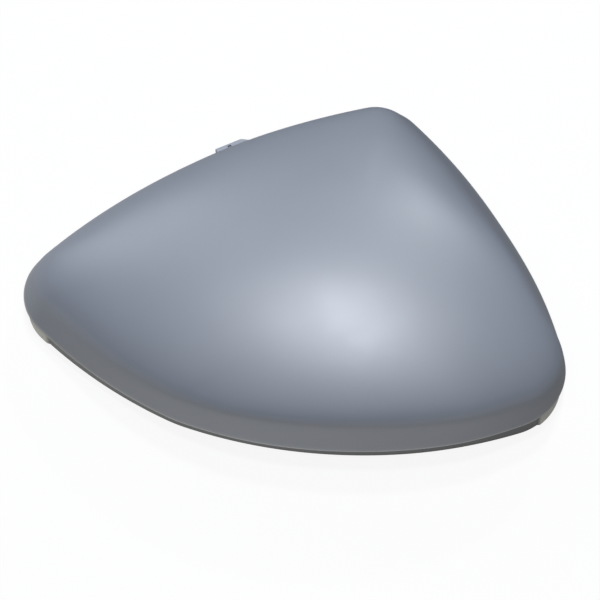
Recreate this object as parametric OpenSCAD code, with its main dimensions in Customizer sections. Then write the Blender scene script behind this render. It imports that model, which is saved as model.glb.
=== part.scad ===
// Wing mirror cover: one clip-on moulding, lying rim down.
// X runs along the cover, Y away from the viewer, Z up. The origin is the middle of the footprint.

/* [Outline] */
// Length of the outline, from the tip to the right corner
length = 225; // [218:1:232]
// Place of the right corner's middle across the cover
right_y = -25; // [-30:1:-20]
// Radius of the right corner
right_r = 27; // [22:1:32]
// Corner at the far right: middle of its circle
far_corner = [33, 87.5]; // [0:1:110]
// Radius of that corner
far_r = 20; // [14:1:28]
// Tip at the left: middle of its circle
tip = [-92, 11.5]; // [-110:1:30]
// Radius of the tip
tip_r = 24; // [18:1:32]
// Belly of the near edge: middle of its circle
belly = [-25, 14]; // [-35:1:25]
// Radius of the belly
belly_r = 66; // [62:1:70]
// Radius of the long bow of the right edge
right_bow = 255; // [220:5:500]
// Radius of the long bow of the far edge
far_bow = 285; // [220:5:500]
// Radius of the bow between the tip and the belly
tip_bow = 215; // [180:5:400]
// Radius of the bow between the belly and the right corner
near_bow = 211; // [180:5:400]

/* [Crown] */
// Height of the crown above the foot of the lip
height = 55; // [50:1:62]
// Place of the highest point
crown_top = [17, -2]; // [-10:1:30]
// Direction of the crown's long axis, in degrees
crown_dir = -9; // [-14:1:0]
// Radius of the crown from its top towards the near edge
crown_near_r = 104; // [90:1:130]
// Radius towards the far edge
crown_far_r = 390; // [300:5:500]
// Radius towards the right corner
crown_right_r = 242; // [200:2:300]
// Radius towards the tip
crown_tip_r = 390; // [320:5:500]
// Half width of the band in which one radius passes into the next
crown_blend = 18; // [12:1:26]
// Half length of the oval that the sections close to round the top
oval_l = 110; // [90:1:120]
// Half width of that oval
oval_w = 66; // [60:1:72]

/* [Wall] */
// Thickness of the skin
skin_t = 2.8; // [2.4:0.1:3.4]
// Lean of the wall at the near edge, in degrees: below 0 it turns under
near_lean = -8; // [-10:1:-2]
// Lean at the right corner
right_corner_lean = 19; // [14:1:24]
// Lean along the right side
right_lean = 28; // [23:1:32]
// Lean at the far corner
far_corner_lean = 31; // [26:1:34]
// Lean along the far side
far_lean = 27; // [22:1:31]
// Lean at the tip
tip_lean = 25; // [21:1:30]
// Lean at the left end of the near edge
left_lean = 0; // [-3:1:5]
// Tightness of the crease over the near wall
near_crease = 9; // [7:0.5:10]
// Tightness of the shoulder at the right corner
right_corner_crease = 6; // [4.5:0.5:7.5]
// Tightness of the shoulder along the right side
right_crease = 6.5; // [5:0.5:8]
// Tightness of the shoulder at the far corner
far_corner_crease = 5; // [4:0.5:6.5]
// Tightness of the shoulder along the far side
far_crease = 5; // [4:0.5:6.5]
// Tightness of the shoulder at the tip
tip_crease = 6.5; // [5:0.5:8]
// Tightness of the crease at the left end of the near edge
left_crease = 8; // [6:0.5:9]

/* [Lip] */
// Height of the rim above the foot of the lip, along the near and far edges
rim_z = 8; // [6:0.5:10]
// The same at the right corner
rim_z_right = 12; // [8:0.5:14]
// The same at the tip
rim_z_tip = 10.5; // [8:0.5:13]
// Step from the skin in to the lip
lip_step = 1.4; // [1:0.1:1.6]
// The same on the locating pads at the right corner and at the tip
pad_step = 0.7; // [0.5:0.1:0.9]
// Break of the rim's outer edge
rim_break = 0.4; // [0.2:0.1:0.6]

/* [Tab] */
// Place of the tab along the far bow, as a share of it
tab_at = 0.385; // [0.3:0.005:0.5]
// Length of the tab's outer edge
tab_l = 12; // [8:0.5:16]
// How far the tab stands out of the rim
tab_out = 3; // [2:0.5:5]
// Thickness of the tab
tab_t = 2.2; // [1.6:0.1:3]
// Side of the square dimple in the tab
tab_dimple = 1.6; // [1:0.1:2]

/* [Hooks] */
// Width of a snap hook
hook_w = 12; // [8:0.5:14]
// Thickness of its finger
hook_t = 2; // [1.6:0.1:2.6]
// Distance of the finger from the outline
hook_in = 11; // [9:0.5:13]
// Height of the finger's end above the foot of the lip
hook_z = 2.5; // [1.5:0.5:5]
// Reach of the barb
barb = 2.2; // [1.5:0.1:3]
// Thickness of the two gussets behind each finger
gusset_t = 1.6; // [1.2:0.1:2]
// Height of the gussets' lower edge above the foot of the lip
gusset_z = 16; // [14:0.5:18]

/* [Pins] */
// Place of the locating pin towards the right corner
right_pin = [68, -12]; // [50:1:74]
// Place of the locating pin towards the tip
tip_pin = [-52, 4]; // [-60:1:-40]
// Radius of the two locating pins
pin_r = 3; // [2.5:0.1:4]
// Length of each pin below its boss
pin_l = 10; // [8:0.5:12]
// Radius of the boss that carries it
boss_r = 5; // [4.8:0.1:6.5]
// Height of the pin's end above the foot of the lip
pin_z = 4; // [2:0.5:6]
// Thickness of the four fins round a boss
fin_t = 1.6; // [1.2:0.1:2.2]
// Reach of a fin out of the boss
fin_out = 3; // [2:0.5:5]
// Height of the fins' lower edge above the boss's end
fin_up = 6; // [4:0.5:8]

/* [Hidden] */
primer_grey = [0.55, 0.58, 0.62];
$fn = 48;

// steps along each corner, each bow, the crown, the wall and the inner skin
corner_steps = 10;
bow_steps = 14;
crown_steps = 10;
wall_steps = 8;

// corners run anticlockwise: middle, radius, radius of the bow that follows
right_corner = [tip[0] - tip_r + length - right_r, right_y];
corners = [
    [right_corner, right_r, right_bow],
    [far_corner, far_r, far_bow],
    [tip, tip_r, tip_bow],
    [belly, belly_r, near_bow]];
corner_n = len(corners);

function turn(a, low) = a < low ? turn(a + 360, low) : a >= low + 360 ? turn(a - 360, low) : a;
function ray(a) = [cos(a), sin(a)];
function heading(v) = atan2(v[1], v[0]);

// middle of the bow from corner k to the next one, on the inner side of both
function bow_mid(k) =
    let (a = corners[k], b = corners[(k + 1) % corner_n],
         ra = a[2] - a[1], rb = a[2] - b[1],
         way = b[0] - a[0], gap = norm(way),
         along = (ra * ra - rb * rb + gap * gap) / (2 * gap),
         off = sqrt(ra * ra - along * along))
    a[0] + way * along / gap + off * [-way[1], way[0]] / gap;
bow_mids = [for (k = [0 : corner_n - 1]) bow_mid(k)];

// headings at which corner k begins, at which its bow begins, and at which the bow ends
function corner_from(k) = heading(corners[k][0] - bow_mids[(k + corner_n - 1) % corner_n]);
function bow_from(k) = turn(heading(corners[k][0] - bow_mids[k]), corner_from(k) - 90);
function bow_to(k) = turn(heading(corners[(k + 1) % corner_n][0] - bow_mids[k]), bow_from(k) - 90);

// a place on the outline, as [point, heading of its outward normal]
function on_corner(k, t) =
    let (a = corner_from(k) + (bow_from(k) - corner_from(k)) * t)
    [corners[k][0] + corners[k][1] * ray(a), a];
function on_bow(k, t) =
    let (a = bow_from(k) + (bow_to(k) - bow_from(k)) * t)
    [bow_mids[k] + corners[k][2] * ray(a), a];
outline = [for (k = [0 : corner_n - 1]) each concat(
    [for (i = [0 : corner_steps - 1]) on_corner(k, i / corner_steps)],
    [for (i = [0 : bow_steps - 1]) on_bow(k, i / bow_steps)])];
around = len(outline);

// the wall's values at the near edge, right corner, right side, far corner, far side, tip and left
// end of the near edge, as [heading from the crown's top, lean, tightness of the crease, height of the rim]
places = [
    [-90, near_lean, near_crease, rim_z],
    [-15, right_corner_lean, right_corner_crease, rim_z_right],
    [40, right_lean, right_crease, rim_z],
    [83, far_corner_lean, far_corner_crease, rim_z],
    [128, far_lean, far_crease, rim_z],
    [172, tip_lean, tip_crease, rim_z_tip],
    [205, left_lean, left_crease, rim_z_tip]];

// value number c of the places, eased between the two that the heading a lies between
function eased(c, a, i = 0) =
    let (n = len(places), from = places[i], to = places[(i + 1) % n],
         span = turn(to[0] - from[0], 0), at = turn(a - from[0], 0))
    at <= span || i == n - 1 ? from[c] + (to[c] - from[c]) * (1 - cos(180 * at / span)) / 2
    : eased(c, a, i + 1);

// the crown: parts of a way along its long axis and across it
function along_across(d) = [d * ray(crown_dir), d * ray(crown_dir + 90)];

// fall and slope at d of a curve whose radius passes from r_back, where d < 0, to r_on
function fall(d, r_back, r_on) =
    let (a = (1 / r_back + 1 / r_on) / 2, b = (1 / r_back - 1 / r_on) / 2,
         s = crown_blend, root = sqrt(d * d + s * s))
    [a * d * d / 2 - b * ((d * root + s * s * ln(d / s + root / s)) / 2 - s * d), a * d - b * (root - s)];
function falls(p) =
    let (q = along_across(p - crown_top))
    [fall(-q[0], crown_right_r, crown_tip_r), fall(q[1], crown_near_r, crown_far_r)];
function crown_z(p) = let (f = falls(p)) height - f[0][0] - f[1][0];
function crown_slope(p) = let (f = falls(p)) norm([f[0][1], f[1][1]]);

// how far in from the outline the leaning wall meets the crown, found in a few rounds
function wall_run(o, lean, rim, run = 0, rounds = 8) =
    rounds == 0 ? run
    : wall_run(o, lean, rim, tan(lean) * (crown_z(o[0] - run * ray(o[1])) - rim), rounds - 1);

// for each place of the outline: point, heading of the normal, lean, tightness, rim height, run of the wall
edge = [for (o = outline)
    let (a = heading(o[0] - crown_top), lean = eased(1, a), rim = eased(3, a))
    [o[0], o[1], lean, eased(2, a), rim, wall_run(o, lean, rim)]];

// how far along the way from the top to the shoulder a section has come: an oval round the top,
// the outline's own shape at the edge
function spread(d, w) =
    let (q = along_across(d), oval = 1 / norm([q[0] / oval_l, q[1] / oval_w]))
    w * (oval + (1 - oval) * w * w);

// a point of the skin, depth below the outer face, on the section through place e of the edge
function skin(e, w, v, depth) =
    let (n = ray(e[1]),
         way = e[0] - n * (e[5] + depth / cos(e[2])) - crown_top,
         flat = crown_top + way * spread(way, w),
         top = crown_z(flat) - depth * sqrt(1 + pow(crown_slope(flat), 2)),
         xy = flat + n * e[5] * (1 - v))
    [xy[0], xy[1], e[4] + (top - e[4]) * v];

// stations of a section from the crown's top to the rim, closer together at the crease, as [w, v]
// with w^n + v^n = 1
function stations(n) =
    let (corner = pow(0.5, 1 / n))
    concat(
        [for (i = [1 : crown_steps]) let (w = corner * (1 - pow(1 - i / crown_steps, 1.5)))
            [w, pow(1 - pow(w, n), 1 / n)]],
        [for (i = [1 : wall_steps]) let (v = corner * (1 - pow(i / wall_steps, 1.5)))
            [pow(1 - pow(v, n), 1 / n), v]]);
function skin_ring(i, depth) = [for (e = edge) let (s = stations(e[3])[i]) skin(e, s[0], s[1], depth)];
ring_n = crown_steps + wall_steps;

// middle of the skin's box, which becomes the origin
skin_points = [for (i = [0 : ring_n - 1]) each skin_ring(i, 0)];
xs = [for (p = skin_points) p[0]];
ys = [for (p = skin_points) p[1]];
centre = [min(xs) + max(xs), min(ys) + max(ys)] / 2;

// the two pads on the lip, as the headings where they begin and end
pads = [[-48, -6], [198, 224]];
function step_in(a) = max([for (p = pads) turn(a - p[0], 0) < p[1] - p[0] ? 1 : 0]) > 0 ? pad_step : lip_step;

// rings round the rim: places of the edge moved in and set at a height
function inset_at(e, inset, z) = let (p = e[0] - inset * ray(e[1])) [p[0], p[1], z];
function foot_ring(inset) = [for (e = edge) inset_at(e, inset, 0)];
function rim_ring(inset, up) = [for (e = edge) inset_at(e, inset, e[4] + up)];
function step_ring() = [for (e = edge) inset_at(e, step_in(e[1]), e[4])];
function lip_ring() = [for (e = edge) inset_at(e, step_in(e[1]), 0)];

// a closed solid from a top point, rings listed from the top down, and an end point
module ringed(first, rings, last) {
    n = len(rings);
    points = [first, each [for (r = rings) each r], last];
    function at(r, i) = 1 + r * around + i % around;
    polyhedron(points, [
        for (i = [0 : around - 1]) [0, at(0, i + 1), at(0, i)],
        for (r = [0 : n - 2]) for (i = [0 : around - 1]) each
            [[at(r, i), at(r, i + 1), at(r + 1, i + 1)], [at(r, i), at(r + 1, i + 1), at(r + 1, i)]],
        for (i = [0 : around - 1]) [len(points) - 1, at(n - 1, i), at(n - 1, i + 1)]]);
}

// the moulded skin with its rim, its step and its lip
module skin_shell() {
    top = [crown_top[0], crown_top[1], height];
    ringed(top,
        [for (i = [0 : ring_n - 2]) skin_ring(i, 0),
         rim_ring(0, rim_break), rim_ring(rim_break, 0),
         step_ring(), lip_ring(), foot_ring(skin_t),
         for (i = [ring_n - 1 : -1 : 0]) skin_ring(i, skin_t)],
        top - [0, 0, skin_t]);
}

// the room that the inner parts fill, up to the middle of the skin
module inner_room() {
    top = [crown_top[0], crown_top[1], height - skin_t / 2];
    ringed(top,
        [for (i = [0 : ring_n - 1]) skin_ring(i, skin_t / 2), foot_ring((skin_t + lip_step) / 2)],
        [crown_top[0], crown_top[1], 0]);
}

// the top tab: a flat tongue out of the rim, with one end slanted and a dimple in its top face
module tab() {
    root = skin_t - 0.3;
    translate([0, 0, rim_z - tab_t]) difference() {
        linear_extrude(tab_t) polygon([[root, tab_l / 2], [-tab_out, tab_l / 2 - 0.5], [-tab_out, -tab_l / 2 + 0.5],
            [0, -tab_l / 2 - tab_out], [root, -tab_l / 2 - tab_out]]);
        translate([-tab_out / 2 - tab_dimple / 2, -tab_dimple / 2, tab_t - 1]) cube([tab_dimple, tab_dimple, 2]);
    }
}

// places its children at outline place o, X pointing in from the edge
module at_edge(o) {
    translate([o[0][0], o[0][1], 0]) rotate(o[1] + 180) children();
}

// a snap hook: a finger with a barb towards the edge, and two gussets back to the wall
module hook() {
    translate([hook_in, -hook_w / 2, hook_z]) cube([hook_t, hook_w, height]);
    translate([hook_in, hook_w / 2, hook_z]) rotate([90, 0, 0])
        linear_extrude(hook_w) polygon([[0.5, 0], [0, 0], [-barb, 2 * barb], [-barb, 2.5 * barb], [0.5, 2.5 * barb]]);
    for (side = [-1, 1])
        translate([1, side * (hook_w - gusset_t) / 2 - gusset_t / 2, 0])
            rotate([90, 0, 0]) translate([0, 0, -gusset_t])
                linear_extrude(gusset_t) polygon([[0, gusset_z], [hook_in, gusset_z], [hook_in, height], [0, height]]);
}

// a locating pin under a boss with four fins
module pin(p) {
    translate([p[0], p[1], pin_z]) cylinder(h = height, r = pin_r);
    translate([p[0], p[1], pin_z + pin_l]) {
        cylinder(h = height, r = boss_r);
        for (a = [0, 90]) rotate(a) translate([-boss_r - fin_out, -fin_t / 2, fin_up])
            cube([2 * (boss_r + fin_out), fin_t, height]);
    }
}

// where the hooks and the pins stand
hook_spots = [on_bow(0, 0.2), on_bow(0, 0.75), on_bow(1, 0.15), on_bow(1, 0.75),
    on_bow(2, 0.5), on_bow(3, 0.25), on_bow(3, 0.8)];
pin_spots = [right_pin, tip_pin];

module mirror_cover() {
    color(primer_grey) translate([-centre[0], -centre[1], 0]) union() {
        skin_shell();
        at_edge(on_bow(1, tab_at)) tab();
        intersection() {
            union() {
                for (o = hook_spots) at_edge(o) hook();
                for (p = pin_spots) pin(p);
            }
            inner_room();
        }
    }
}

mirror_cover();
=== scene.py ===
"""Wing mirror cover: the looks of one primed moulding, lying rim down on a pale table.

Sizes are in millimetres and degrees, as in the part's own source, and turn to metres when a mesh is made.
"""
import math

import bmesh
import bpy
import numpy as np
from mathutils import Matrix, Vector
from mathutils.bvhtree import BVHTree


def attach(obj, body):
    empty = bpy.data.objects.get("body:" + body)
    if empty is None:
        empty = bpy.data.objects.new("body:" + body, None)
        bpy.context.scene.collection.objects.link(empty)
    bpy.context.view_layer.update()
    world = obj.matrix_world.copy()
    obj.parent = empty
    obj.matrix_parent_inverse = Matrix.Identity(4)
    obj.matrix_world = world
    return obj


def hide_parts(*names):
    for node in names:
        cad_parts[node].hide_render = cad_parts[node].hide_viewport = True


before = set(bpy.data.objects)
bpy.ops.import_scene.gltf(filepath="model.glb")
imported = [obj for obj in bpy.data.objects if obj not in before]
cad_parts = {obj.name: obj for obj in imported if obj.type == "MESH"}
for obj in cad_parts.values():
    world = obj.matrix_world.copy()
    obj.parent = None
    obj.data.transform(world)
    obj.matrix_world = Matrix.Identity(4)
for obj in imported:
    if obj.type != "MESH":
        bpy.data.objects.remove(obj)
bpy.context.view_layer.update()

MM = 0.001

# Outline and crown
# corners of the outline, anticlockwise: middle, radius, radius of the bow that follows
CORNERS = [((82, -25), 27, 255),      # right
           ((33, 84.6), 22.9, 285),   # far
           ((-92, 11.5), 24, 215),    # tip
           ((-25, 14), 66, 211)]      # belly of the near edge
# the middle of the solids' box on the plan, which is the frame's origin
CENTRE = (-3.5, 21.926)
CROWN_TOP, HEIGHT = np.array((17.0, -2.0)), 55.0
RIDGE_DIR, CROWN_BLEND = -9.0, 18.0
CROWN_NEAR_R, CROWN_FAR_R, CROWN_RIGHT_R, CROWN_TIP_R = 104.0, 390.0, 242.0, 390.0
# the oval that the sections close to round the top, how late the skin leaves it, and how close to
# the edge the softened sections give way to the edge's own
OVAL_L, OVAL_W, SPREAD, SOFT_END = 110.0, 66.0, 2.0, 6.0

# Wall and lip
# values at these headings from the crown's top, from the near edge anticlockwise; the fold is the
# share of the wall's height where a tight crease tops it, and none where the skin only rolls over
BEARINGS = [-90, -50, -25, 0, 40, 83, 128, 172, 200, 235]
LEAN = [-5.8, -6, 4.5, 20, 27.5, 31, 27, 25, 1, -6]
CREASE = [11, 10.5, 7.5, 6, 6.5, 5, 5, 6.5, 8, 11]
FOLD = [0.91, 0.88, 0.62, 0, 0, 0, 0, 0, 0.75, 0.92]
RIM = [6, 6.5, 11, 12, 8, 8, 8, 10.5, 7, 5.5]
FOLD_TIGHT, FAR_RIM = 60.0, 8.0
# how far the wall's foot tucks in under it, and over what height
TUCK = [0.5, 0.3, 0.3, 0.1, 0, 0, 0, 0.1, 0.2, 0.4]
TUCK_UP = 6.0
# the lip's pads, by the heading of the outline's outward normal
PADS = [(-52, -6), (188, 226)]
SKIN_T, LIP_STEP, PAD_STEP = 2.8, 1.4, 0.7
# rounding of the rim's edge and of the lip's edges, and the share of it at which its middle lies
RIM_BREAK, LIP_BREAK, MID_BREAK = 0.4, 0.25, 0.3

# Tab, hooks and pins
TAB_AT, TAB_L, TAB_OUT, TAB_SLANT, TAB_T = 0.385, 13.5, 3.3, 4.5, 2.2
# the skin left behind the tab, the taper of its outer end, the rounding of its top, and its dimple
TAB_BEHIND, TAB_TAPER, TAB_BREAK, TAB_DIMPLE, TAB_DIMPLE_DEEP = 0.3, 0.5, 0.2, 1.6, 1.0
HOOK_W, HOOK_T, HOOK_IN, HOOK_Z, GUSSET_T, GUSSET_Z = 12.0, 2.0, 11.0, 2.5, 1.6, 16.0
# a barb's reach, its rise and its top as multiples of that, and its root and toe in the finger
BARB, BARB_RISE, BARB_TOP, BARB_ROOT, BARB_TOE = 2.2, 2.0, 2.5, 0.4, 0.05
PIN_R, PIN_L, PIN_Z, PIN_BREAK, PIN_SUNK = 3.0, 10.0, 4.0, 0.4, 1.0
BOSS_R, BOSS_BREAK, FIN_T, FIN_OUT, FIN_UP = 5.0, 0.3, 1.6, 3.0, 6.0
# how deep the inner parts reach into the skin, as a share of it, and the least height of a gusset
INTO_SKIN, LEAST_GUSSET = 0.5, 0.5
# hooks by the number of a bow and the share of the way along it, pins by their place on the plan
HOOK_SPOTS = [(0, 0.2), (0, 0.75), (1, 0.15), (1, 0.75), (2, 0.5), (3, 0.25), (3, 0.8)]
PIN_SPOTS = [(68, -12), (-52, 4)]

# Fineness of the mesh
CORNER_STEPS, BOW_STEPS, SKIN_STEPS, SOFTEN, RUN_ROUNDS = 36, 44, 80, 12, 8
# a section is drawn finely at its usual run and rise, and its stations are spread by length and bend
CURVE_POINTS, USUAL_RUN, USUAL_RISE, BEND_WEIGHT = 901, 80, 32, 1.1
HOOK_POINTS, GUSSET_POINTS, FIN_POINTS, POST_STEPS = 9, 11, 13, 48
SHARP_ANGLE = 38

# Paint and plastic, as colours from and to, and their grain as scale, detail and roughness
PRIMER = (0.245, 0.270, 0.323), (0.260, 0.285, 0.336)
PALE_PLASTIC = (0.70, 0.68, 0.58), (0.76, 0.74, 0.63)
# painted shade: the near-black that the lip between the pads takes, standing in for the shade under the rim
LIP_PAINTED_SHADE = (0.018, 0.019, 0.019)
SATIN, PRIMER_IOR, PRIMER_SPECULAR = (0.42, 0.45), 1.65, 0.8
PEEL_STRENGTH, PEEL_DEEP = 0.04, 0.0002
DRIFT_GRAIN, PLASTIC_GRAIN = (14, 3, 0.5), (420, 4, 0.5)
SATIN_GRAIN, PEEL_GRAIN = (60, 4, 0.5), (900, 3, 0.6)
GRAIN_REACH = (0.3, 0.7)

# Camera: what it looks at, in the outline's own coordinates, and where from
LOOK_AT = (0.0, -0.5, 25.0)
CAMERA_UP_ANGLE, CAMERA_AWAY, MM_PER_PIXEL, PIXELS = 60.0, 792.0, 0.41, 600
SENSOR, CLIP = 36, (0.05, 20)

# Table: how much of the camera's view of it is plain white, its own white, and its light on the
# cover, which falls towards the heading of the dark side, in metres from the middle
TABLE_GLOW, TABLE_WHITE, TABLE_DARK_SIDE = 0.9, 0.95, 60.0
TABLE_REACH, TABLE_LIGHT = (-0.08, 0.12), (0.60, 0.04)
TABLE_SIZE, TABLE_DROP, TABLE_ROUGH, TABLE_SPECULAR = 6, 0.0002, 0.9, 0.1

# Lamps: name, azimuth, elevation, width in metres, watts; azimuth 0 is the viewer's side, 90 the right
LAMP_AWAY, LAMP_COLOUR = 1.6, (0.914, 0.952, 1.0)
LAMPS = [("top_lamp", 20, 90, 0.1, 9.2),
         ("back_top_lamp", 171, 74, 0.13, 8.3),
         ("back_right_lamp", 158, 38, 0.1, 4.3),
         ("back_left_lamp", 215, 30, 0.95, 5.4),
         ("front_top_lamp", 358, 70, 1.5, 4.2)]
ROOM_COLOUR, ROOM_LIGHT = (0.95, 0.97, 1.0), 0.03


# The outline
def ray(deg):
    """Unit vector, or a row of them, at a heading."""
    a = np.radians(deg)
    return np.stack([np.cos(a), np.sin(a)], -1)


def heading(v):
    return math.degrees(math.atan2(v[1], v[0]))


def turn(a, low):
    """The angle brought into the full circle that starts at low."""
    return (a - low) % 360 + low


def bow_middle(k):
    """Middle of the bow that joins corner k to the next one from the inner side."""
    (a, r_a, bow), (b, r_b, _) = CORNERS[k], CORNERS[(k + 1) % len(CORNERS)]
    a, b = np.array(a, float), np.array(b, float)
    way = b - a
    gap = np.hypot(*way)
    along = ((bow - r_a) ** 2 - (bow - r_b) ** 2 + gap * gap) / (2 * gap)
    off = math.sqrt((bow - r_a) ** 2 - along * along)
    return a + way * along / gap + off * np.array([-way[1], way[0]]) / gap


def arcs():
    """Every arc of the outline: middle, radius, first and last heading."""
    n = len(CORNERS)
    mids = [bow_middle(k) for k in range(n)]
    out = []
    for k, (c, r, bow) in enumerate(CORNERS):
        c = np.array(c, float)
        start = heading(c - mids[k - 1])
        middle = turn(heading(c - mids[k]), start - 90)
        end = turn(heading(np.array(CORNERS[(k + 1) % n][0], float) - mids[k]), middle - 90)
        out += [(c, r, start, middle), (mids[k], bow, middle, end)]
    return out


ARCS = arcs()


def on_bow(k, t):
    """A place on the bow after corner k: point and heading."""
    mid, r, a0, a1 = ARCS[2 * k + 1]
    a = a0 + (a1 - a0) * t
    return mid + r * ray(a), a


def outline():
    """Points round the outline, and the heading of the outward normal at each."""
    pts, heads = [], []
    for i, (mid, r, a0, a1) in enumerate(ARCS):
        steps = BOW_STEPS if i % 2 else CORNER_STEPS
        a = a0 + (a1 - a0) * np.arange(steps) / steps
        pts.append(mid + r * ray(a))
        heads.append(a)
    return np.vstack(pts), np.concatenate(heads)


EDGE, HEADS = outline()
NORMALS = ray(HEADS)
FROM_TOP = np.degrees(np.arctan2(EDGE[:, 1] - CROWN_TOP[1], EDGE[:, 0] - CROWN_TOP[0]))


def eased(values):
    """A value for each point of the edge, eased between those at the bearings without a swing past them."""
    at = np.array(BEARINGS + [BEARINGS[0] + 360], float)
    val = np.array(values + [values[0]], float)
    gap = np.diff(at)
    rise = np.diff(val) / gap
    last = np.roll(rise, 1)
    same = rise * last > 0
    slope = np.where(same, 2 * rise * last / np.where(same, rise + last, 1), 0)
    slope = np.append(slope, slope[0])
    a = turn(FROM_TOP, at[0])
    i = np.clip(np.searchsorted(at, a, side="right") - 1, 0, len(values) - 1)
    t = (a - at[i]) / gap[i]
    rest = t * (1 - t) * gap[i] * ((1 - t) * slope[i] - t * slope[i + 1])
    return val[i] + (val[i + 1] - val[i]) * t * t * (3 - 2 * t) + rest


def softened(rows):
    """Rows that follow the edge, each eased with its neighbours round it."""
    far = np.arange(-3 * SOFTEN, 3 * SOFTEN + 1)
    share = np.exp(-(far / SOFTEN) ** 2 / 2)
    return sum(w * np.roll(rows, k, axis=0) for k, w in zip(far, share / share.sum()))


# The skin
def along_across(d):
    """Parts of a plan vector along the ridge and across it."""
    return d @ ray(RIDGE_DIR), d @ ray(RIDGE_DIR + 90)


def fall(d, r_back, r_on):
    """Fall and slope at d of a curve whose radius passes from r_back, where d < 0, to r_on."""
    a, b, s = (1 / r_back + 1 / r_on) / 2, (1 / r_back - 1 / r_on) / 2, CROWN_BLEND
    root = np.sqrt(d * d + s * s)
    down = a * d * d / 2 - b * ((d * root + s * s * np.arcsinh(d / s)) / 2 - s * d)
    return down, a * d - b * (root - s)


def crown(p):
    """Height and steepness of the crown over a place on the plan."""
    u, v = along_across(p - CROWN_TOP)
    fall_u, slope_u = fall(-u, CROWN_RIGHT_R, CROWN_TIP_R)
    fall_v, slope_v = fall(v, CROWN_NEAR_R, CROWN_FAR_R)
    return HEIGHT - fall_u - fall_v, np.hypot(slope_u, slope_v)


def wall_run(lean, rim):
    """How far in from the outline the leaning wall meets the crown."""
    run = np.zeros(len(EDGE))
    for _ in range(RUN_ROUNDS):
        run = np.tan(lean) * (crown(EDGE - NORMALS * run[:, None])[0] - rim)
    return run


def sections():
    """How far out and how far up each station of each section stands, as shares, from top to rim."""
    n, fold = eased(CREASE)[:, None], np.clip(eased(FOLD), 0, 1)[:, None]
    a = np.radians(np.linspace(90, 0, CURVE_POINTS))
    c, s, q = np.cos(a).clip(0), np.sin(a), FOLD_TIGHT
    soft = 1 - fold ** n
    size = ((c ** n * soft + s ** n) ** (q / n) + (1 - soft ** (q / n)) * c ** q) ** (-1 / q)
    out, up = size * c, size * s
    du, dv = np.diff(out) * USUAL_RUN, np.diff(up) * USUAL_RISE
    length = np.hypot(du, dv)
    turned = np.arctan2(-dv, du)
    bend = np.abs(np.diff(turned, prepend=turned[:, :1]))
    cost = length / length.sum(1, keepdims=True) + BEND_WEIGHT * bend / bend.sum(1, keepdims=True)
    cost = np.column_stack([np.zeros(len(out)), np.cumsum(cost, axis=1)])
    stations = np.linspace(0, 1, SKIN_STEPS + 1)[1:]
    both = [(np.interp(stations, k / k[-1], x), np.interp(stations, k / k[-1], y))
            for k, x, y in zip(cost, out, up)]
    return np.array([x for x, _ in both]).T, np.array([y for _, y in both]).T


SECTIONS = sections()


def skin_rings(depth):
    """Rings of the skin from near the crown's top down to the rim, depth below the outer face."""
    lean, rim = np.radians(eased(LEAN)), eased(RIM)
    run, tuck = wall_run(lean, rim), eased(TUCK)
    way = EDGE - NORMALS * (run + depth / np.cos(lean))[:, None] - CROWN_TOP
    soft_way = softened(way)
    u, v = along_across(soft_way)
    oval = 1 / np.hypot(u / OVAL_L, v / OVAL_W)
    rings = []
    for out, up in zip(*SECTIONS):
        near_edge = (out ** SOFT_END)[:, None]
        reach = out * (oval + (1 - oval) * out ** SPREAD)
        flat = CROWN_TOP + (way * near_edge + soft_way * (1 - near_edge)) * reach[:, None]
        z, steep = crown(flat)
        z = rim + (z - depth * np.sqrt(1 + steep ** 2) - rim) * up
        foot = tuck * np.clip(1 - (z - rim) / TUCK_UP, 0, 1) ** 2
        xy = flat + NORMALS * (run * (1 - up) - foot)[:, None]
        rings.append(np.column_stack([xy, z]))
    return rings


def edge_ring(inset, z):
    """A ring that follows the wall's foot, at an inset from it and a height."""
    return np.column_stack([EDGE - NORMALS * (eased(TUCK) + inset)[:, None],
                            np.broadcast_to(z, len(EDGE))])


def shell_mesh():
    """The whole skin with rim, step and lip: points, faces, each point's primer and its pale plastic, which
    is 0 on the lip between the pads where painted shade goes.
    """
    rim = eased(RIM)
    pad = np.zeros(len(HEADS))
    for a0, a1 in PADS:
        pad[turn(HEADS - a0, 0) < a1 - a0] = 1
    bare = np.ones(len(HEADS))
    step = LIP_STEP + (PAD_STEP - LIP_STEP) * pad
    edge, lip, mid = RIM_BREAK, LIP_BREAK, MID_BREAK
    # rings from the rim's edge over the step and the lip's foot: inset, height, primer, pale plastic; the
    # primer thinned at the rim's edge is a painted highlight along the rim line, and where pad is 0 the lip
    # takes painted shade
    lower = [(0, rim + edge, 0.5, bare), (edge * mid, rim + edge * mid, 0.4, bare), (edge, rim, 0.4, bare),
             (step - lip, rim, 0.4, pad), (step, rim - lip, 0.3, pad), (step, lip, 0.05, pad),
             (step + lip * mid, lip * mid, 0, pad), (step + lip, 0, 0, pad), (SKIN_T - lip, 0, 0, pad),
             (SKIN_T - lip * mid, lip * mid, 0, pad), (SKIN_T, lip, 0, bare)]
    outer, inner = skin_rings(0)[:-1], skin_rings(SKIN_T)
    rings = outer + [edge_ring(inset, z) for inset, z, _, _ in lower] + inner[::-1]
    paint = [1.0] * len(outer) + [share for _, _, share, _ in lower] + [0.0] * len(inner)
    pale = [bare] * len(outer) + [tone for _, _, _, tone in lower] + [bare] * len(inner)

    count = len(EDGE)
    top = np.array([*CROWN_TOP, HEIGHT])
    points = np.vstack([top[None], *rings, (top - [0, 0, SKIN_T])[None]])
    share = np.concatenate([[1.0], np.repeat(paint, count), [0.0]])
    pale = np.concatenate([[1.0], *pale, [1.0]])
    last = 1 + (len(rings) - 1) * count
    faces = []
    for i in range(count):
        j = (i + 1) % count
        faces.append((0, 1 + i, 1 + j))
        for k in range(len(rings) - 1):
            a, b = 1 + k * count, 1 + (k + 1) * count
            faces.append((a + i, b + i, b + j, a + j))
        faces.append((last + i, len(points) - 1, last + j))
    return points, faces, share, pale


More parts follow.
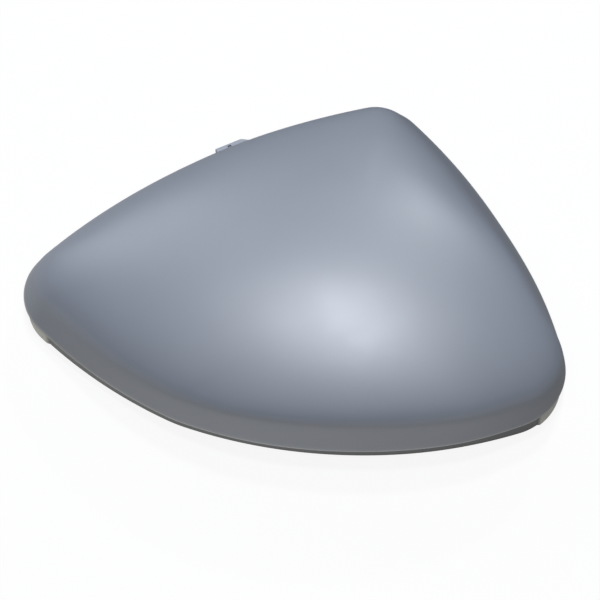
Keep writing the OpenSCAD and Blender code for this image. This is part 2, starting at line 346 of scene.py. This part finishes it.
# Inner parts and tab
class Builder:
    """Collects the moulding's forms in one mesh, in metres about the frame's origin."""

    def __init__(self):
        self.bm = bmesh.new()
        self.paint = self.bm.verts.layers.float.new("primer")
        self.pale = self.bm.verts.layers.float.new("pale")

    def add(self, points, faces, share, pale=1.0):
        """Adds a form, with the share of primer and of pale plastic at all its points or at each."""
        verts = [self.bm.verts.new(((x - CENTRE[0]) * MM, (y - CENTRE[1]) * MM, z * MM))
                 for x, y, z in points]
        n = len(verts)
        for v, s, p in zip(verts, np.broadcast_to(share, n), np.broadcast_to(pale, n)):
            v[self.paint], v[self.pale] = float(s), float(p)
        for f in faces:
            self.bm.faces.new([verts[i] for i in f]).smooth = True

    def finish(self, name):
        bmesh.ops.recalc_face_normals(self.bm, faces=self.bm.faces)
        mesh = bpy.data.meshes.new(name)
        self.bm.to_mesh(mesh)
        self.bm.free()
        obj = bpy.data.objects.new(name, mesh)
        bpy.context.collection.objects.link(obj)
        return obj


def band(low, high, n):
    """Faces between two closed rows of n points that start at low and at high."""
    return [(low + i, low + (i + 1) % n, high + (i + 1) % n, high + i) for i in range(n)]


def prism(section, thickness, steps=1):
    """A plate: closed section points swept over a thickness, as points of (a, b, c) with c across."""
    n = len(section)
    cs = np.linspace(-thickness / 2, thickness / 2, steps + 1)
    points = [(a, b, c) for c in cs for a, b in section]
    faces = [tuple(range(n))[::-1], tuple(range(steps * n, (steps + 1) * n))]
    for s in range(steps):
        faces += band(s * n, (s + 1) * n, n)
    return np.array(points), faces


def to_edge(place, p):
    """Points given as (in from the edge, along it, up) moved to a place of the outline."""
    (x, y), a = place
    inward, side = -ray(a), -np.array([-math.sin(math.radians(a)), math.cos(math.radians(a))])
    out = np.array([x, y]) + p[:, :1] * inward + p[:, 1:2] * side
    return np.column_stack([out, p[:, 2]])


def under_skin(tree, p):
    """Points brought down, where too high, to the middle of the skin above them, or else to the rim."""
    p = p.copy()
    for row in p:
        hit = tree.ray_cast(Vector((row[0], row[1], 0.0)), Vector((0, 0, 1)))[0]
        row[2] = min(row[2], hit.z + INTO_SKIN * SKIN_T if hit is not None else FAR_RIM)
    return p


def inner_tree():
    """The skin's inner face, to stand the hidden parts against."""
    rings = skin_rings(SKIN_T)
    n = len(EDGE)
    points = [(CROWN_TOP[0], CROWN_TOP[1], HEIGHT - SKIN_T)] + [tuple(p) for r in rings for p in r]
    faces = [(0, 1 + i, 1 + (i + 1) % n) for i in range(n)]
    for k in range(len(rings) - 1):
        a, b = 1 + k * n, 1 + (k + 1) * n
        faces += [(a + i, b + i, b + (i + 1) % n, a + (i + 1) % n) for i in range(n)]
    return BVHTree.FromPolygons(points, faces)


def add_hook(build, tree, place):
    """A finger with a barb towards the edge, and two gussets back to the wall."""
    ys = np.linspace(-HOOK_W / 2, HOOK_W / 2, HOOK_POINTS)
    face = [(ys[0], HOOK_Z), (ys[-1], HOOK_Z)] + [(y, HEIGHT) for y in ys[::-1]]
    p, faces = prism(face, HOOK_T, 2)
    p = np.column_stack([HOOK_IN + HOOK_T / 2 + p[:, 2], p[:, 0], p[:, 1]])
    build.add(under_skin(tree, to_edge(place, p)), faces, 0)
    wedge = [(BARB_ROOT, 0), (BARB_TOE, 0), (-BARB, BARB_RISE * BARB), (-BARB, BARB_TOP * BARB),
             (BARB_ROOT, BARB_TOP * BARB)]
    p, faces = prism(wedge, HOOK_W)
    p = np.column_stack([HOOK_IN + p[:, 0], p[:, 2], HOOK_Z + p[:, 1]])
    build.add(to_edge(place, p), faces, 0)
    xs = np.linspace(SKIN_T, HOOK_IN, GUSSET_POINTS)
    plate = [(xs[0], GUSSET_Z), (xs[-1], GUSSET_Z)] + [(x, HEIGHT) for x in xs[::-1]]
    for side in (-1, 1):
        p, faces = prism(plate, GUSSET_T)
        p = np.column_stack([p[:, 0], side * (HOOK_W - GUSSET_T) / 2 + p[:, 2], p[:, 1]])
        p = under_skin(tree, to_edge(place, p))
        if p[:, 2].max() > GUSSET_Z + LEAST_GUSSET:
            build.add(p, faces, 0)


def add_post(build, tree, spot, rows):
    """A round post at a spot on the plan, by rows of radius and height, ended by the skin above it."""
    x, y = spot
    a = np.linspace(0, 2 * math.pi, POST_STEPS + 1)[:-1]
    pts = [(x + r * math.cos(t), y + r * math.sin(t), z) for r, z in rows for t in a]
    n, last = POST_STEPS, (len(rows) - 1) * POST_STEPS
    faces = [tuple(range(n))[::-1], tuple(range(last, last + n))]
    for k in range(len(rows) - 1):
        faces += band(k * n, (k + 1) * n, n)
    build.add(under_skin(tree, np.array(pts)), faces, 0)


def add_pin(build, tree, spot):
    """A locating pin under a boss with four fins."""
    x, y = spot
    boss_z = PIN_Z + PIN_L
    add_post(build, tree, spot, [(PIN_R - PIN_BREAK, PIN_Z), (PIN_R, PIN_Z + PIN_BREAK),
                                 (PIN_R, boss_z + PIN_SUNK)])
    add_post(build, tree, spot, [(BOSS_R - BOSS_BREAK, boss_z), (BOSS_R, boss_z + BOSS_BREAK),
                                 (BOSS_R, HEIGHT)])
    reach = BOSS_R + FIN_OUT
    xs = np.linspace(-reach, reach, FIN_POINTS)
    low = boss_z + FIN_UP
    for across in (0, 1):
        p, faces = prism([(xs[0], low), (xs[-1], low)] + [(t, HEIGHT) for t in xs[::-1]], FIN_T)
        dx, dy = (p[:, 2], p[:, 0]) if across else (p[:, 0], p[:, 2])
        build.add(under_skin(tree, np.column_stack([x + dx, y + dy, p[:, 1]])), faces, 0)


def add_tab(build):
    """The tongue out of the far rim, with one end slanted and a square dimple in its top."""
    top, low, root = FAR_RIM, FAR_RIM - TAB_T, SKIN_T - TAB_BEHIND
    plan = [(root, -TAB_L / 2), (-TAB_OUT, -TAB_L / 2 + TAB_TAPER), (-TAB_OUT, TAB_L / 2 - TAB_TAPER),
            (0, TAB_L / 2 + TAB_SLANT), (root, TAB_L / 2 + TAB_SLANT)]
    middle = np.array([-TAB_OUT / 2, 0])
    inner = [tuple(np.array(q) + TAB_BREAK * (middle - q) / np.hypot(*(middle - q))) for q in plan]
    h = TAB_DIMPLE / 2
    hole = [(-TAB_OUT / 2 + sx * h, sy * h) for sx, sy in ((1, -1), (-1, -1), (-1, 1), (1, 1))]
    pts = [(*q, low) for q in plan] + [(*q, top - TAB_BREAK) for q in plan] + [(*q, top) for q in inner]
    pts += [(*q, top) for q in hole] + [(*q, top - TAB_DIMPLE_DEEP) for q in hole]
    n = len(plan)
    # the top's outer row starts at t, the dimple's upper row at d
    t, d = 2 * n, 3 * n
    faces = [tuple(range(n))] + band(0, n, n) + band(n, t, n)
    faces += [(t, t + 1, d + 1, d), (t + 1, t + 2, d + 2, d + 1), (t + 2, t + 3, d + 3, d + 2),
              (t + 3, t + 4, d + 3), (t + 4, t, d, d + 3)]
    faces += band(d, d + 4, 4)
    faces.append((d + 4, d + 5, d + 6, d + 7))
    build.add(to_edge(on_bow(1, TAB_AT), np.array(pts)), faces, 1)


def make_cover():
    build = Builder()
    build.add(*shell_mesh())
    tree = inner_tree()
    for k, t in HOOK_SPOTS:
        add_hook(build, tree, on_bow(k, t))
    for spot in PIN_SPOTS:
        add_pin(build, tree, spot)
    add_tab(build)
    obj = build.finish("cover_moulding")
    obj.data.set_sharp_from_angle(angle=math.radians(SHARP_ANGLE))
    return obj


# Materials
def new_material(name):
    mat = bpy.data.materials.new(name)
    mat.use_nodes = True
    nodes = mat.node_tree.nodes
    return mat, nodes, mat.node_tree.links, nodes["Principled BSDF"]


def noise(nodes, links, coords, grain):
    n = nodes.new("ShaderNodeTexNoise")
    for name, value in zip(("Scale", "Detail", "Roughness"), grain):
        n.inputs[name].default_value = value
    links.new(coords, n.inputs["Vector"])
    return n.outputs["Fac"]


def ranged(nodes, links, value, to, reach):
    """A value that passes from the first to the second of to as the given value crosses its reach."""
    m = nodes.new("ShaderNodeMapRange")
    m.inputs["From Min"].default_value, m.inputs["From Max"].default_value = reach
    m.inputs["To Min"].default_value, m.inputs["To Max"].default_value = to
    links.new(value, m.inputs["Value"])
    return m.outputs["Result"]


def blend(nodes, links, fac, a, b):
    """Two colours, each a fixed one or another node's, mixed by a factor."""
    m = nodes.new("ShaderNodeMix")
    m.data_type = "RGBA"
    links.new(fac, m.inputs["Factor"])
    for socket, colour in ((m.inputs[6], a), (m.inputs[7], b)):
        if isinstance(colour, tuple):
            socket.default_value = (*colour, 1)
        else:
            links.new(colour, socket)
    return m.outputs[2]


def point_share(nodes, name):
    share = nodes.new("ShaderNodeAttribute")
    share.attribute_name = name
    return share.outputs["Fac"]


def by_camera(nodes, links, light, seen):
    """One shader for the light on the cover, and another for what the camera sees."""
    path = nodes.new("ShaderNodeLightPath")
    mix = nodes.new("ShaderNodeMixShader")
    links.new(path.outputs["Is Camera Ray"], mix.inputs["Fac"])
    links.new(light, mix.inputs[1])
    links.new(seen, mix.inputs[2])
    return mix.outputs["Shader"]


def primed_material():
    """Satin blue-grey primer that thins out round the lip to bare pale plastic, thinned at the rim's edge
    as a painted highlight, with painted shade in near-black on the lip between the pads.
    """
    mat, nodes, links, shader = new_material("primed_moulding")
    coords = nodes.new("ShaderNodeTexCoord").outputs["Object"]
    drift = ranged(nodes, links, noise(nodes, links, coords, DRIFT_GRAIN), (0, 1), GRAIN_REACH)
    primer = blend(nodes, links, drift, *PRIMER)
    grain = ranged(nodes, links, noise(nodes, links, coords, PLASTIC_GRAIN), (0, 1), GRAIN_REACH)
    # the lip between the pads, where pale is 0, is painted near-black as shade
    plastic = blend(nodes, links, point_share(nodes, "pale"), LIP_PAINTED_SHADE,
                    blend(nodes, links, grain, *PALE_PLASTIC))
    colour = blend(nodes, links, point_share(nodes, "primer"), plastic, primer)
    links.new(colour, shader.inputs["Base Color"])
    satin = ranged(nodes, links, noise(nodes, links, coords, SATIN_GRAIN), SATIN, GRAIN_REACH)
    links.new(satin, shader.inputs["Roughness"])
    peel = nodes.new("ShaderNodeBump")
    peel.inputs["Strength"].default_value = PEEL_STRENGTH
    peel.inputs["Distance"].default_value = PEEL_DEEP
    links.new(noise(nodes, links, coords, PEEL_GRAIN), peel.inputs["Height"])
    links.new(peel.outputs["Normal"], shader.inputs["Normal"])
    shader.inputs["IOR"].default_value = PRIMER_IOR
    shader.inputs["Specular IOR Level"].default_value = PRIMER_SPECULAR
    return mat


def table_material():
    """A sheet lit from below on the near left, which looks white to the camera and keeps a shadow."""
    mat, nodes, links, shader = new_material("pale_table")
    coords = nodes.new("ShaderNodeTexCoord").outputs["Object"]
    across = nodes.new("ShaderNodeVectorMath")
    across.operation = "DOT_PRODUCT"
    across.inputs[1].default_value = (*ray(TABLE_DARK_SIDE), 0)
    links.new(coords, across.inputs[0])
    shader.inputs["Base Color"].default_value = (*(TABLE_WHITE,) * 3, 1)
    shader.inputs["Roughness"].default_value = TABLE_ROUGH
    shader.inputs["Specular IOR Level"].default_value = TABLE_SPECULAR
    glow = nodes.new("ShaderNodeEmission")
    links.new(ranged(nodes, links, across.outputs["Value"], TABLE_LIGHT, TABLE_REACH),
              glow.inputs["Strength"])
    white = nodes.new("ShaderNodeEmission")
    white.inputs["Strength"].default_value = 1
    seen = nodes.new("ShaderNodeMixShader")
    seen.inputs["Fac"].default_value = TABLE_GLOW
    links.new(shader.outputs["BSDF"], seen.inputs[1])
    links.new(white.outputs["Emission"], seen.inputs[2])
    links.new(by_camera(nodes, links, glow.outputs["Emission"], seen.outputs["Shader"]),
              nodes["Material Output"].inputs["Surface"])
    return mat


# Stage
def add_table():
    bpy.ops.mesh.primitive_plane_add(size=TABLE_SIZE, location=(0, 0, -TABLE_DROP))
    table = bpy.context.object
    table.name = "table"
    table.data.materials.append(table_material())


def add_camera():
    up = math.radians(CAMERA_UP_ANGLE)
    target = Vector(((LOOK_AT[0] - CENTRE[0]) * MM, (LOOK_AT[1] - CENTRE[1]) * MM, LOOK_AT[2] * MM))
    back = Vector((0, -math.cos(up), math.sin(up)))
    data = bpy.data.cameras.new("camera")
    cam = bpy.data.objects.new("camera", data)
    bpy.context.collection.objects.link(cam)
    cam.location = target + back * CAMERA_AWAY * MM
    cam.rotation_euler = back.to_track_quat("Z", "Y").to_euler()
    data.sensor_width = SENSOR
    data.lens = data.sensor_width * CAMERA_AWAY / (MM_PER_PIXEL * PIXELS)
    data.clip_start, data.clip_end = CLIP
    bpy.context.scene.camera = cam


def add_lamp(name, azimuth, elevation, width, watts):
    """A round soft lamp aimed at the cover."""
    a, e = math.radians(azimuth - 90), math.radians(elevation)
    way = Vector((math.cos(a) * math.cos(e), math.sin(a) * math.cos(e), math.sin(e)))
    data = bpy.data.lights.new(name, "AREA")
    data.shape, data.size, data.energy, data.color = "DISK", width, watts, LAMP_COLOUR
    lamp = bpy.data.objects.new(name, data)
    bpy.context.collection.objects.link(lamp)
    lamp.location = way * LAMP_AWAY
    lamp.rotation_euler = way.to_track_quat("Z", "Y").to_euler()


def add_light():
    """The lamps, and a room that is dim to the cover and white to the camera."""
    world = bpy.data.worlds.new("room")
    world.use_nodes = True
    nodes, links = world.node_tree.nodes, world.node_tree.links
    room = nodes["Background"]
    room.inputs["Color"].default_value = (*ROOM_COLOUR, 1)
    room.inputs["Strength"].default_value = ROOM_LIGHT
    seen = nodes.new("ShaderNodeBackground")
    seen.inputs["Strength"].default_value = 1
    links.new(by_camera(nodes, links, room.outputs["Background"], seen.outputs["Background"]),
              nodes["World Output"].inputs["Surface"])
    bpy.context.scene.world = world
    for lamp in LAMPS:
        add_lamp(*lamp)


cover = make_cover()
cover.data.materials.append(primed_material())
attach(cover, "root")
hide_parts("mirror_cover")
add_table()
add_camera()
add_light()
scene = bpy.context.scene
scene.view_settings.view_transform = "Standard"
